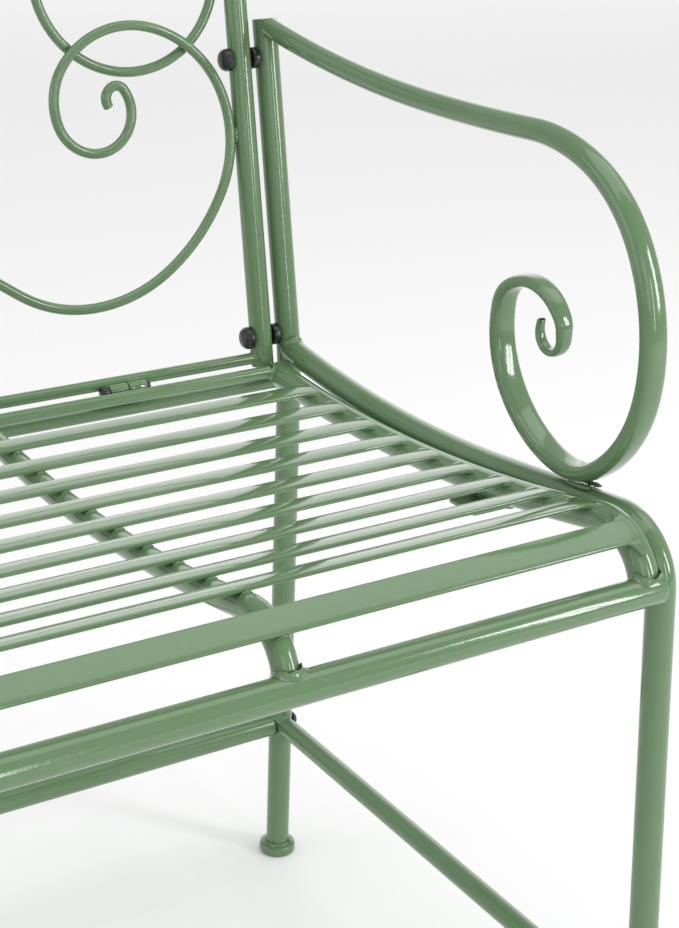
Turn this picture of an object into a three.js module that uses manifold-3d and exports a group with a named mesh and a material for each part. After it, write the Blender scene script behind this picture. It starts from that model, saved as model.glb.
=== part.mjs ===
// Garden bench in painted steel tube, with scroll arms and a fold-down scroll back.
// Millimetres, +Z up, the front faces -Y, +X is the sitter's left.
// The origin is on the floor under the middle of the bench.
import * as THREE from "three";
import { mergeVertices } from "three/addons/utils/BufferGeometryUtils.js";
import Module from "manifold-3d";

// ---- driving dimensions ----
const DEGREE = Math.PI / 180;
const CLEARANCE = 0.3; // left at every weld and joint, so that each piece is a body of its own

const FRAME_X = 510; // middle plane of each side frame
const TUBE_R = 9.5; // main tube, 19 mm
const POST_R = 9.8;
const STRETCHER_R = 8; // 16 mm tube
const ARM_R = 8;
const ROD_R = 4; // 8 mm round bar of the backrest pattern
const RAIL_R = 4.75; // thin rails at the hinge line
const CROSS_BAR_R = 6;

const FOOT_R = 15.5;
const FOOT_H = 8;
const FOOT_EDGE = 1.2; // rounding of the foot's rims
const LEG_START_Z = FOOT_H + CLEARANCE;

const REAR_LEG_Y = 211.5; // at the floor
const REAR_LEG_LEAN = 1.7; // degrees forward, going up
const REAR_BEND_Z = 458;
const RECLINE = 9.1; // degrees back from upright, for posts and backrest
const POST_TOP_Z = 727;
const KNEE_R = 150; // bend between the rear leg and its post

const FRONT_LEG_FLOOR_Y = -260;
const FRONT_LEG_LEAN = 1.3; // degrees back, going up

const STRETCHER_Z = 126;
const CROSS_BAR_Z = 441;

// seat surface: a long shallow arc that dips near the back, then a tight bend down to the front tube
const SEAT_LOW_Y = 63;
const SEAT_LOW_Z = 457.5;
const SEAT_ARC_R = 1344;
const SEAT_BACK_Y = 173.6;
const SEAT_RAIL_BACK_Y = 182;
const SEAT_BEND_Y = -212;
const SEAT_BEND_R = 45;
const SEAT_BEND = 90; // degrees
const SEAT_RAIL_X = 490;
const SUPPORT_PITCH = 240;
const SUPPORT_R = 8;
const FRONT_TUBE_Y = -260;
const FRONT_TUBE_Z = 445;

const SLAT_COUNT = 9;
const SLAT_PITCH = 40.8;
const SLAT_FIRST_Y = 125.5;
const SLAT_W = 18;
const SLAT_T = 3;
const FLAT_BAR_TURN = 43.4; // the front bar lies on the bend, this many degrees round it

// side tube: it dips beside the seat's rail, rises straight to the front and bends down into the leg
const SIDE_LOW_Y = 28;
const SIDE_LOW_Z = 454.3;
const SIDE_ARC_R = 1100;
const SIDE_STRAIGHT_Y = -88;
const SIDE_BEND_Y = -208;
const SIDE_BEND_R = 38;

// hinge line
const HINGE_Y = 189;
const HINGE_Z = 460;
const REAR_RAIL_Y = 179.4;
const REAR_RAIL_Z = 457;
const KNUCKLE_R = 5;
const KNUCKLE_BORE_R = 2.9;
const KNUCKLE_L = 15;
const HINGE_X = 345; // inner end of the hinge barrel
const KNUCKLE_GAP = 1;
const HINGE_BOLT_R = 2.5;
const HINGE_NUT_R = 4.2;
const HINGE_NUT_L = 3;
const HINGE_HEAD_R = 4.6;
const HINGE_HEAD_L = 7;

// backrest plane: u runs along X, w runs up the recline from this line
const BACK_Y = 198.3;
const BACK_Z = 461;
const UPRIGHT_X = 485;
const UPRIGHT_R = 9;
const UPRIGHT_FOOT_W = -5;
const UPRIGHT_TOP_W = 338;
const BACK_RAIL_W = 2.2;
const SHOULDER_R = 55;
const SHOULDER_BEND = 80; // degrees
const BACK_BOLT_W = [19, 240];
const RING_R = 76;
const RING_W = 313;
const CENTRE_RING_R = 115.5;

// fasteners
const STRETCHER_HEAD_R = 6.5;
const STRETCHER_HEAD_H = 5;
const BACK_BOLT_R = 2.9;
const BACK_BORE_R = 3.4;
const KNOB_R = 9;
const KNOB_L = 8.6;
const SPACER_R = 8.5;
const SPACER_BORE_R = 3.6;
const SEAT_BOLT_R = 3.8;
const SEAT_BOLT_BORE_R = 4.3;
const SEAT_BOLT_HEAD_R = 7;
const SEAT_BOLT_HEAD_L = 7;

// brackets that carry the seat panel on the side tubes
const BRACKET_Y = -95;
const BRACKET_W = 30;
const BRACKET_T = 3;
const BRACKET_LAP = 20; // how far a bracket reaches past the middle of the seat's side rail

// ---- materials ----
function paint(red, green, blue, roughness, metalness) {
  const color = new THREE.Color().setRGB(red, green, blue, THREE.SRGBColorSpace);
  return new THREE.MeshStandardMaterial({ color, roughness, metalness });
}
const green = paint(0.49, 0.62, 0.47, 0.32, 0.0);
const black = paint(0.06, 0.06, 0.06, 0.4, 0.2);

// ---- bent rods ----
// A rod bent in one plane from a start, a heading in degrees and a list of [radius, degrees] bends.
// Positive bends turn left; [length, 0] is a straight run.
class BentRod extends THREE.Curve {
  constructor(start, heading, bends, intoSpace, turnStep = 22, runStep = 90) {
    super();
    this.intoSpace = intoSpace;
    this.runs = [];
    this.steps = 0;
    let here = new THREE.Vector2(start[0], start[1]);
    let angle = heading * DEGREE;
    for (const [size, degrees] of bends) {
      const length = degrees === 0 ? size : Math.abs(size * degrees * DEGREE);
      const curvature = (degrees * DEGREE) / length;
      const count = Math.max(1, Math.ceil(Math.abs(degrees) / turnStep), Math.ceil(length / runStep));
      const run = { here, angle, length, curvature, count, first: this.steps };
      this.runs.push(run);
      this.steps += count;
      here = this.along(run, length);
      angle += degrees * DEGREE;
    }
    this.endPoint = here;
  }
  along(run, distance) {
    const turned = run.curvature * distance;
    const middle = run.angle + turned / 2;
    const chord = turned === 0 ? distance : (2 / run.curvature) * Math.sin(turned / 2);
    return new THREE.Vector2(run.here.x + chord * Math.cos(middle), run.here.y + chord * Math.sin(middle));
  }
  locate(t) {
    const step = Math.min(Math.max(t, 0), 1) * this.steps;
    const run = this.runs.findLast((r) => r.first <= step) ?? this.runs[0];
    return { run, distance: ((step - run.first) / run.count) * run.length };
  }
  getPoint(t, target = new THREE.Vector3()) {
    const { run, distance } = this.locate(t);
    const flat = this.along(run, distance);
    return target.copy(this.intoSpace(flat.x, flat.y));
  }
  getTangent(t, target = new THREE.Vector3()) {
    const { run, distance } = this.locate(t);
    const angle = run.angle + run.curvature * distance;
    const origin = this.intoSpace(0, 0);
    return target.copy(this.intoSpace(Math.cos(angle), Math.sin(angle))).sub(origin).normalize();
  }
  getUtoTmapping(u) {
    return u;
  }
}

// In a side plane the flat coordinates are (forward, up).
function sidePlane(x) {
  return (forward, up) => new THREE.Vector3(x, -forward, up);
}

// In the backrest plane they are (u, w); behind is the distance behind that plane.
function backPlane(behind = 0) {
  const lean = RECLINE * DEGREE;
  const y = (w) => BACK_Y + w * Math.sin(lean) + behind * Math.cos(lean);
  const z = (w) => BACK_Z + w * Math.cos(lean) - behind * Math.sin(lean);
  return (u, w) => new THREE.Vector3(u, y(w), z(w));
}

function sweep(rod, radius, sides = 12) {
  const section = new THREE.Shape().absarc(0, 0, radius, 0, 2 * Math.PI);
  const options = { steps: rod.steps, extrudePath: rod, curveSegments: sides / 2 };
  return new THREE.ExtrudeGeometry(section, options);
}

function barAlongX(x0, x1, y, z, radius, sides = 12) {
  const bar = new THREE.CylinderGeometry(radius, radius, x1 - x0, sides);
  return bar.rotateZ(Math.PI / 2).translate((x0 + x1) / 2, y, z);
}

function turned(profile, sides = 16) {
  return new THREE.LatheGeometry(profile.map(([r, h]) => new THREE.Vector2(r, h)), sides);
}

function roundedBar(width, thickness, length) {
  const corner = thickness * 0.3;
  const w = width / 2;
  const t = thickness / 2;
  const section = new THREE.Shape();
  section.absarc(w - corner, t - corner, corner, 0, Math.PI / 2);
  section.absarc(-w + corner, t - corner, corner, Math.PI / 2, Math.PI);
  section.absarc(-w + corner, -t + corner, corner, Math.PI, 1.5 * Math.PI);
  section.absarc(w - corner, -t + corner, corner, 1.5 * Math.PI, 2 * Math.PI);
  const bar = new THREE.ExtrudeGeometry(section, { depth: length, bevelEnabled: false, curveSegments: 2 });
  // the section's width lies along Y, its thickness along Z and its length along X
  return bar.translate(0, 0, -length / 2).rotateX(Math.PI / 2).rotateZ(Math.PI / 2);
}

// ---- joining and cutting ----
const wasm = await Module();
wasm.setup();

function toSolid(geometry) {
  const bare = geometry.index ? geometry.toNonIndexed() : geometry.clone();
  bare.deleteAttribute("normal");
  bare.deleteAttribute("uv");
  const merged = mergeVertices(bare, 1e-3);
  const vertProperties = merged.attributes.position.array;
  const triVerts = new Uint32Array(merged.index.array);
  return new wasm.Manifold(new wasm.Mesh({ numProp: 3, vertProperties, triVerts }));
}

function toGeometry(solid) {
  const mesh = solid.getMesh();
  const geometry = new THREE.BufferGeometry();
  geometry.setAttribute("position", new THREE.BufferAttribute(mesh.vertProperties, 3));
  geometry.setIndex(new THREE.BufferAttribute(mesh.triVerts, 1));
  return geometry;
}

function cut(geometry, ...tools) {
  return toGeometry(tools.reduce((solid, tool) => solid.subtract(toSolid(tool)), toSolid(geometry)));
}

// ---- the assembly ----
const bench = new THREE.Group();
const right = new THREE.Group();
const left = new THREE.Group();
left.scale.x = -1;
bench.add(right, left);

function piece(name, geometry, material = green, parent = bench) {
  const mesh = new THREE.Mesh(geometry, material);
  mesh.name = name;
  parent.add(mesh);
}

// The same piece on both side frames: geometry is made for the +X side and mirrored for the other.
function pair(name, geometry, material = green) {
  piece(name + "_right", geometry, material, right);
  piece(name + "_left", geometry, material, left);
}

// ---- side frames ----
function arcHeading(r, y, lowY) {
  return Math.asin((lowY - y) / r) / DEGREE;
}
function arcHeight(r, y, lowY, lowZ) {
  return lowZ + r - Math.sqrt(r * r - (y - lowY) ** 2);
}

const rearLegFoot = REAR_LEG_Y - LEG_START_Z * Math.tan(REAR_LEG_LEAN * DEGREE);
const legRun = (REAR_BEND_Z - LEG_START_Z) / Math.cos(REAR_LEG_LEAN * DEGREE);
const postRun = (POST_TOP_Z - REAR_BEND_Z) / Math.cos(RECLINE * DEGREE);
const kneeSweep = REAR_LEG_LEAN + RECLINE;
const kneeTrim = KNEE_R * Math.tan((kneeSweep / 2) * DEGREE);
const rearPost = new BentRod(
  [-rearLegFoot, LEG_START_Z],
  90 - REAR_LEG_LEAN,
  [[legRun - kneeTrim, 0], [KNEE_R, kneeSweep], [postRun - kneeTrim, 0]],
  sidePlane(FRAME_X),
  6,
  400,
);
pair("rear_post", sweep(rearPost, POST_R, 14));

function rearLegY(z) {
  return REAR_LEG_Y - z * Math.tan(REAR_LEG_LEAN * DEGREE);
}
function frontLegY(z) {
  return FRONT_LEG_FLOOR_Y + z * Math.tan(FRONT_LEG_LEAN * DEGREE);
}

// The side tube starts inside the post, where a clearance cut copes its end, and ends on the front foot.
const sideStartY = rearLegY(REAR_BEND_Z);
const sideFirst = arcHeading(SIDE_ARC_R, sideStartY, SIDE_LOW_Y);
const sideLast = arcHeading(SIDE_ARC_R, SIDE_STRAIGHT_Y, SIDE_LOW_Y);
const sideStraight = (SIDE_STRAIGHT_Y - SIDE_BEND_Y) / Math.cos(sideLast * DEGREE);
const kneeSide = sideLast + 90 - FRONT_LEG_LEAN;
const sideBends = [[SIDE_ARC_R, sideLast - sideFirst], [sideStraight, 0], [SIDE_BEND_R, -kneeSide]];
const sideStart = [-sideStartY, arcHeight(SIDE_ARC_R, sideStartY, SIDE_LOW_Y, SIDE_LOW_Z)];
const sideTop = new BentRod(sideStart, sideFirst, sideBends, sidePlane(FRAME_X));
const frontLegRun = (sideTop.endPoint.y - LEG_START_Z) / Math.cos(FRONT_LEG_LEAN * DEGREE);
const sideTube = new BentRod(
  sideStart, sideFirst, [...sideBends, [frontLegRun, 0]], sidePlane(FRAME_X), 13, 60,
);
const postClearance = sweep(rearPost, POST_R + CLEARANCE, 14);
pair("side_tube", cut(sweep(sideTube, TUBE_R), postClearance));

// Armrest: a long shallow run from the post, over the front, and round into a closing scroll.
const ARM_START = [-227.4, 720.9];
const ARM_HEADING = -10.8;
const ARM_BENDS = [
  [1280, 10], [2100, 3], [140, -23], [103, -40], [130, -40], [98, -45], [50, -45], [87, -45],
  [73, -45], [25, -45], [36, -45], [37, -45], [16, -34], [5, 0], [12.3, -180], [20, -20],
];
const armrest = new BentRod(ARM_START, ARM_HEADING, ARM_BENDS, sidePlane(FRAME_X));
pair("armrest_scroll", sweep(armrest, ARM_R, 10));

const stretcherBack = rearLegY(STRETCHER_Z) - POST_R - 2 * CLEARANCE;
const stretcherFront = frontLegY(STRETCHER_Z) + TUBE_R + 2 * CLEARANCE;
const sideStretcher = new BentRod(
  [-stretcherBack, STRETCHER_Z], 0, [[stretcherBack - stretcherFront, 0]], sidePlane(FRAME_X), 22, 600,
);
pair("side_stretcher", sweep(sideStretcher, STRETCHER_R));

function foot(y) {
  const disc = turned([[0, 0], [FOOT_R - FOOT_EDGE, 0], [FOOT_R, FOOT_EDGE], [FOOT_R, FOOT_H - FOOT_EDGE],
    [FOOT_R - FOOT_EDGE, FOOT_H], [0, FOOT_H]]);
  return disc.rotateX(Math.PI / 2).translate(FRAME_X, y, 0);
}
pair("rear_foot", foot(REAR_LEG_Y));
pair("front_foot", foot(FRONT_LEG_FLOOR_Y));

// ---- cross members between the rear legs ----
const crossEnd = FRAME_X - POST_R - CLEARANCE;
const stretcherY = rearLegY(STRETCHER_Z);
piece("rear_stretcher", barAlongX(-crossEnd, crossEnd, stretcherY, STRETCHER_Z, TUBE_R));
piece("rear_cross_bar", barAlongX(-crossEnd, crossEnd, rearLegY(CROSS_BAR_Z), CROSS_BAR_Z, CROSS_BAR_R));

function domeHead(radius, height) {
  return turned([[0, 0], [radius, 0], [radius, height * 0.3], [radius * 0.8, height * 0.75],
    [radius * 0.4, height], [0, height]], 12);
}
const stretcherBolt = domeHead(STRETCHER_HEAD_R, STRETCHER_HEAD_H).rotateZ(-Math.PI / 2);
pair("stretcher_bolt",
  stretcherBolt.translate(FRAME_X + POST_R + CLEARANCE, stretcherY, STRETCHER_Z), black);

// ---- seat panel ----
const frontTubeEnd = FRAME_X - TUBE_R - 2 * CLEARANCE;
function frontTube(radius) {
  return barAlongX(-frontTubeEnd, frontTubeEnd, FRONT_TUBE_Y, FRONT_TUBE_Z, radius, 14);
}
piece("seat_front_tube", frontTube(TUBE_R));

// A curve at a fixed depth under the seat surface, from the back of the seat to inside the front tube.
function underSeat(depth, x, backY = SEAT_BACK_Y) {
  const first = arcHeading(SEAT_ARC_R, backY, SEAT_LOW_Y);
  const last = arcHeading(SEAT_ARC_R, SEAT_BEND_Y, SEAT_LOW_Y);
  const z = arcHeight(SEAT_ARC_R, backY, SEAT_LOW_Y, SEAT_LOW_Z);
  const start = [-backY + depth * Math.sin(first * DEGREE), z - depth * Math.cos(first * DEGREE)];
  const bends = [[SEAT_ARC_R + depth, last - first], [SEAT_BEND_R - depth, -SEAT_BEND]];
  const bent = new BentRod(start, first, bends, sidePlane(x));
  const drop = Math.max(bent.endPoint.y - FRONT_TUBE_Z, 1);
  return new BentRod(start, first, [...bends, [drop, 0]], sidePlane(x), 15, 60);
}
const tubeClearance = frontTube(TUBE_R + CLEARANCE);
const seatRail = underSeat(TUBE_R, SEAT_RAIL_X, SEAT_RAIL_BACK_Y);
const seatRailClearance = sweep(seatRail, TUBE_R + CLEARANCE);
pair("seat_side_rail", cut(sweep(seatRail, TUBE_R), tubeClearance));

const supportDepth = SUPPORT_R + SLAT_T + CLEARANCE;
["left", "centre", "right"].forEach((where, i) => {
  const support = underSeat(supportDepth, (i - 1) * SUPPORT_PITCH);
  piece("seat_support_" + where, cut(sweep(support, SUPPORT_R), tubeClearance));
});

const railEnd = SEAT_RAIL_X - TUBE_R - CLEARANCE;
piece("seat_rear_rail", barAlongX(-railEnd, railEnd, REAR_RAIL_Y, REAR_RAIL_Z, RAIL_R));

const leftRailClearance = seatRailClearance.clone().translate(-2 * SEAT_RAIL_X, 0, 0);
function seatBar(y, z, tilt) {
  const bar = roundedBar(SLAT_W, SLAT_T, 2 * (SEAT_RAIL_X - CLEARANCE));
  bar.translate(0, 0, -SLAT_T / 2).rotateX(tilt * DEGREE).translate(0, y, z);
  return cut(bar, seatRailClearance, leftRailClearance);
}
for (let i = 0; i < SLAT_COUNT; i++) {
  const y = SLAT_FIRST_Y - i * SLAT_PITCH;
  const z = arcHeight(SEAT_ARC_R, y, SEAT_LOW_Y, SEAT_LOW_Z);
  piece("seat_slat_" + (i + 1), seatBar(y, z, -arcHeading(SEAT_ARC_R, y, SEAT_LOW_Y)));
}
const bendStart = arcHeading(SEAT_ARC_R, SEAT_BEND_Y, SEAT_LOW_Y);
const bendCentre = [
  SEAT_BEND_Y - SEAT_BEND_R * Math.sin(bendStart * DEGREE),
  arcHeight(SEAT_ARC_R, SEAT_BEND_Y, SEAT_LOW_Y, SEAT_LOW_Z) - SEAT_BEND_R * Math.cos(bendStart * DEGREE),
];
const flatTilt = FLAT_BAR_TURN - bendStart;
const flatY = bendCentre[0] - SEAT_BEND_R * Math.sin(flatTilt * DEGREE);
const flatZ = bendCentre[1] + SEAT_BEND_R * Math.cos(flatTilt * DEGREE);
piece("seat_front_flat", seatBar(flatY, flatZ, flatTilt));

// ---- backrest ----
const boltBores = BACK_BOLT_W.map((w) => {
  const at = backPlane()(UPRIGHT_X, w);
  return barAlongX(at.x - 2 * UPRIGHT_R, at.x + 2 * UPRIGHT_R, at.y, at.z, BACK_BORE_R);
});
const uprightLength = UPRIGHT_TOP_W - UPRIGHT_FOOT_W;
const upright = new BentRod([UPRIGHT_X, UPRIGHT_FOOT_W], 90, [[uprightLength, 0]], backPlane(), 22, 400);
pair("back_upright", cut(sweep(upright, UPRIGHT_R), ...boltBores));

const shoulderX = UPRIGHT_X - SHOULDER_R * (1 - Math.cos(SHOULDER_BEND * DEGREE));
const archR = shoulderX / Math.cos(SHOULDER_BEND * DEGREE);
const archSweep = 2 * (90 - SHOULDER_BEND);
const topBends = [[SHOULDER_R, SHOULDER_BEND], [archR, archSweep], [SHOULDER_R, SHOULDER_BEND]];
const topRail = new BentRod([UPRIGHT_X, UPRIGHT_TOP_W + CLEARANCE], 90, topBends, backPlane(), 14, 60);
piece("back_top_rail", sweep(topRail, UPRIGHT_R));

const backRailEnd = UPRIGHT_X - UPRIGHT_R - CLEARANCE;
const backRail = backPlane()(0, BACK_RAIL_W);
piece("back_bottom_rail", barAlongX(-backRailEnd, backRailEnd, backRail.y, backRail.z, RAIL_R));

// Scroll: from the tip of its outer curl, round against the upright and down to the bottom rail,
// then up past the centre ring to a second curl under the top rail, beside its mirror image.
const SCROLL_START = [369.1, 212.8];
const SCROLL_HEADING = 122;
const SCROLL_BENDS = [
  [10, -90], [8, -90], [30, -135], [33, -60], [50, -60], [70, -60], [85, -60], [97, -45], [156, -30],
  [119, -35], [100, -32], [281.5, 0], [112, -55], [83, -90], [69, -90], [56, -90], [43, -90], [30, -90],
  [19, -120],
];
const backScroll = new BentRod(SCROLL_START, SCROLL_HEADING, SCROLL_BENDS, backPlane());
pair("back_scroll", sweep(backScroll, ROD_R, 8));

// A ring of round bar lying in the backrest plane, or a set distance behind it.
function ring(u, w, radius, behind) {
  const torus = new THREE.TorusGeometry(radius, ROD_R, 8, 30);
  const at = backPlane(behind)(u, w);
  return torus.rotateX(Math.PI / 2 - RECLINE * DEGREE).translate(at.x, at.y, at.z);
}
const ringU = UPRIGHT_X - UPRIGHT_R - CLEARANCE - ROD_R - RING_R;
pair("back_ring", ring(ringU, RING_W, RING_R, 2 * ROD_R + CLEARANCE));
const centreRingW = BACK_RAIL_W + RAIL_R + CLEARANCE + ROD_R + CENTRE_RING_R;
piece("back_centre_ring", ring(0, centreRingW, CENTRE_RING_R, 0));

// ---- hinges ----
function knuckle(x) {
  const profile = [[KNUCKLE_BORE_R, 0], [KNUCKLE_R, 0], [KNUCKLE_R, KNUCKLE_L], [KNUCKLE_BORE_R, KNUCKLE_L],
    [KNUCKLE_BORE_R, 0]];
  return turned(profile, 14).rotateZ(-Math.PI / 2).translate(x, HINGE_Y, HINGE_Z);
}
pair("hinge_seat_knuckle", knuckle(HINGE_X));
pair("hinge_back_knuckle", knuckle(HINGE_X + KNUCKLE_L + KNUCKLE_GAP));
const barrel = 2 * KNUCKLE_L + KNUCKLE_GAP;
const hingeBolt = turned([
  [0, -HINGE_HEAD_L], [HINGE_HEAD_R, -HINGE_HEAD_L], [HINGE_HEAD_R, -CLEARANCE], [HINGE_BOLT_R, -CLEARANCE],
  [HINGE_BOLT_R, barrel + CLEARANCE], [HINGE_NUT_R, barrel + CLEARANCE],
  [HINGE_NUT_R, barrel + HINGE_NUT_L], [0, barrel + HINGE_NUT_L],
], 12);
pair("hinge_bolt", hingeBolt.rotateZ(-Math.PI / 2).translate(HINGE_X, HINGE_Y, HINGE_Z), black);

// ---- fasteners of the backrest ----
const spacerLength = FRAME_X - POST_R - UPRIGHT_X - UPRIGHT_R - 2 * CLEARANCE;
BACK_BOLT_W.forEach((w, i) => {
  const where = ["lower", "upper"][i];
  const at = backPlane()(UPRIGHT_X, w);
  const spacer = turned([[SPACER_BORE_R, 0], [SPACER_R, 0], [SPACER_R, spacerLength],
    [SPACER_BORE_R, spacerLength], [SPACER_BORE_R, 0]]);
  pair("back_spacer_" + where,
    spacer.rotateZ(-Math.PI / 2).translate(at.x + UPRIGHT_R + CLEARANCE, at.y, at.z), black);
  const shankEnd = 2 * UPRIGHT_R - 1;
  const knob = turned([
    [0, -KNOB_L], [0.44 * KNOB_R, -0.96 * KNOB_L], [0.83 * KNOB_R, -0.77 * KNOB_L], [KNOB_R, -0.45 * KNOB_L],
    [KNOB_R, -CLEARANCE], [BACK_BOLT_R, -CLEARANCE], [BACK_BOLT_R, shankEnd], [0, shankEnd],
  ]);
  pair("back_bolt_" + where, knob.rotateZ(-Math.PI / 2).translate(at.x - UPRIGHT_R, at.y, at.z), black);
});

// ---- seat brackets ----
const bracketTop = arcHeight(SEAT_ARC_R, BRACKET_Y + BRACKET_W / 2, SEAT_LOW_Y, SEAT_LOW_Z) - 2 * TUBE_R - 1;
const bracketInner = SEAT_RAIL_X - BRACKET_LAP;
const bracketOuter = FRAME_X + TUBE_R;
const plate = new THREE.BoxGeometry(bracketOuter - bracketInner, BRACKET_W, BRACKET_T);
plate.translate((bracketInner + bracketOuter) / 2, BRACKET_Y, bracketTop - BRACKET_T / 2);
const hole = new THREE.CylinderGeometry(SEAT_BOLT_BORE_R, SEAT_BOLT_BORE_R, 3 * BRACKET_T, 12);
pair("seat_bracket", cut(plate, hole.rotateX(Math.PI / 2).translate(FRAME_X, BRACKET_Y, bracketTop)));
const tubeUnderside = arcHeight(SIDE_ARC_R, BRACKET_Y, SIDE_LOW_Y, SIDE_LOW_Z) - TUBE_R - 3 * CLEARANCE;
const seatBoltEnd = tubeUnderside - bracketTop + BRACKET_T;
const seatBolt = turned([
  [0, -SEAT_BOLT_HEAD_L], [0.7 * SEAT_BOLT_HEAD_R, -SEAT_BOLT_HEAD_L],
  [SEAT_BOLT_HEAD_R, -0.7 * SEAT_BOLT_HEAD_L], [SEAT_BOLT_HEAD_R, -CLEARANCE],
  [SEAT_BOLT_R, -CLEARANCE], [SEAT_BOLT_R, seatBoltEnd], [0, seatBoltEnd],
], 12);
pair("seat_bolt",
  seatBolt.rotateX(Math.PI / 2).translate(FRAME_X, BRACKET_Y, bracketTop - BRACKET_T), black);

export default bench;
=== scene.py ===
"""Looks of the garden bench: painted tubes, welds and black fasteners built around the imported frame.

Dimensions are in millimetres in the frame of the CAD part, and turn into metres where meshes are made.
+Z is up, the bench faces -Y, and the +X side is called right, as seen from the front. Each piece of the right
side has a mirrored twin on the left.
"""
import math

import bpy
from mathutils import Matrix, Vector, noise


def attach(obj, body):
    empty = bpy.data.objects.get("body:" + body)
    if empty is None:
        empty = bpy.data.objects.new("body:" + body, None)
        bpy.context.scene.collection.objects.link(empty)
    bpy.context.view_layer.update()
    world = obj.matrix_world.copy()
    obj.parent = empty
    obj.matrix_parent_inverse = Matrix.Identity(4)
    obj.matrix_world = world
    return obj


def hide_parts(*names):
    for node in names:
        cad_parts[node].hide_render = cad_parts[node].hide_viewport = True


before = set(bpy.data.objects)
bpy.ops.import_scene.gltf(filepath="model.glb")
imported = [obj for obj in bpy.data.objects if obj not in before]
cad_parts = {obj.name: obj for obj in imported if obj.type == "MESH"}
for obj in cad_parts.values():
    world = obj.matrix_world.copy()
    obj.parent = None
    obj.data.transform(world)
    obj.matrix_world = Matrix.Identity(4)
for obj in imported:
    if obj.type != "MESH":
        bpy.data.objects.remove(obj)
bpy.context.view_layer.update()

MM = 0.001
DEGREE = math.pi / 180

# ---- dimensions shared with the CAD part ----
FRAME_X = 510
TUBE_R = 9.5
POST_R = 9.8
STRETCHER_R = 8
ARM_R = 8
ROD_R = 4
RAIL_R = 4.75
CROSS_BAR_R = 6
SUPPORT_R = 8
FOOT_R = 15.5
FOOT_H = 8
REAR_LEG_Y = 211.5
REAR_LEG_LEAN = 1.7
REAR_BEND_Z = 458
RECLINE = 9.1
POST_TOP_Z = 727
KNEE_R = 150
FRONT_LEG_FLOOR_Y = -260
FRONT_LEG_LEAN = 1.3
STRETCHER_Z = 126
CROSS_BAR_Z = 441
SEAT_LOW_Y = 63
SEAT_LOW_Z = 457.5
SEAT_ARC_R = 1344
SEAT_BACK_Y = 173.6
SEAT_RAIL_BACK_Y = 182
SEAT_BEND_Y = -212
SEAT_BEND_R = 45
SEAT_BEND = 90
SEAT_RAIL_X = 490
SUPPORT_PITCH = 240
FRONT_TUBE_Y = -260
FRONT_TUBE_Z = 445
SLAT_COUNT = 9
SLAT_PITCH = 40.8
SLAT_FIRST_Y = 125.5
SLAT_W = 18
SLAT_T = 3
FLAT_BAR_TURN = 43.4
SIDE_LOW_Y = 28
SIDE_LOW_Z = 454.3
SIDE_ARC_R = 1100
SIDE_STRAIGHT_Y = -88
SIDE_BEND_Y = -208
SIDE_BEND_R = 38
HINGE_Y = 189
HINGE_Z = 460
REAR_RAIL_Y = 179.4
REAR_RAIL_Z = 457
KNUCKLE_R = 5
KNUCKLE_L = 15
HINGE_X = 345
BACK_Y = 198.3
BACK_Z = 461
UPRIGHT_X = 485
UPRIGHT_R = 9
UPRIGHT_FOOT_W = -5
UPRIGHT_TOP_W = 338
BACK_RAIL_W = 2.2
SHOULDER_R = 55
SHOULDER_BEND = 80
BACK_BOLT_W = (19, 240)
RING_R = 76
RING_W = 313
CENTRE_RING_R = 115.5
BRACKET_Y = -95
BRACKET_W = 30
BRACKET_T = 3
ARM_START = (-227.4, 720.9)
ARM_HEADING = -10.8
ARM_BENDS = ((1280, 10), (2100, 3), (140, -23), (103, -40), (130, -40), (98, -45), (50, -45), (87, -45),
             (73, -45), (25, -45), (36, -45), (37, -45), (16, -34), (5, 0), (12.3, -180), (20, -20))
SCROLL_START = (369.1, 212.8)
SCROLL_HEADING = 122
SCROLL_BENDS = ((10, -90), (8, -90), (30, -135), (33, -60), (50, -60), (70, -60), (85, -60), (97, -45),
                (156, -30), (119, -35), (100, -32), (281.5, 0), (112, -55), (83, -90), (69, -90), (56, -90),
                (43, -90), (30, -90), (19, -120))
CLEARANCE = 0.3

# ---- detail that only shows here ----
POST_WALL = 1.3
HOLLOW_DEPTH = 30
LIP_RISE = 0.6  # the rounded lip of an open end, in shares of half its wall
LIP_ROUND = 0.4
SOFT_SHARE = 0.28  # the share of its radius that a softened end rounds off
SOFT_ANGLES = (20, 40, 60, 80, 90)
FLATTER = 0.35  # a flattened tube has flatter faces than an ellipse, fully so from this difference on
FLATTER_FROM = 4
# the arm's tube is round at the post and flattens towards its tip:
# length from the tip, half width, half thickness
ARM_FLATTENING = ((0, 3.2, 1.9), (25, 4.6, 2.4), (60, 6.6, 3.5), (110, 8.6, 4.3), (190, 9.6, 5.2),
                  (330, 9.2, 6.0), (450, 8.6, 7.0), (560, 8.0, 8.0))
ARM_IN_POST = 4
TIP_WALL = 0.8
TIP_EDGE = 0.4
TIP_DEPTH = 9
FRONT_TUBE_TRIM = 2.6  # about what a softened end adds
UPRIGHT_TRIM = 2
CROSS_BAR_INSET = 4
RAIL_IN_UPRIGHT = 2
SLAT_HALF = SEAT_RAIL_X - 1.5
SLAT_EDGE_R = 1.1
SLAT_ENDS = ((0, 0.78), (0.5, 0.93), (1.2, 1.0))  # distance from the end, share of the full section
KNUCKLE_GAP = 1
KNUCKLE_BORE_R = 2.9
BARREL_L = 2 * KNUCKLE_L + KNUCKLE_GAP
SPACER_R = 8.5
SPACER_BORE_R = 3.6
COLLAR_EDGE = 0.6
COLLAR_ROUND = 0.3
BRACKET_GAP = 1
BRACKET_REACH = 20
PLATE_CORNER_R = 3.0
PLATE_EDGE = 0.5
DOME_R = 5.9
DOME_H = 4.2
DOME_CHAMFER = 0.4
DOME_RIM = 0.5
DOME_CROWN = 0.3
WASHER_SUNK = 0.2
DOME_RAISED = 0.8
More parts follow.
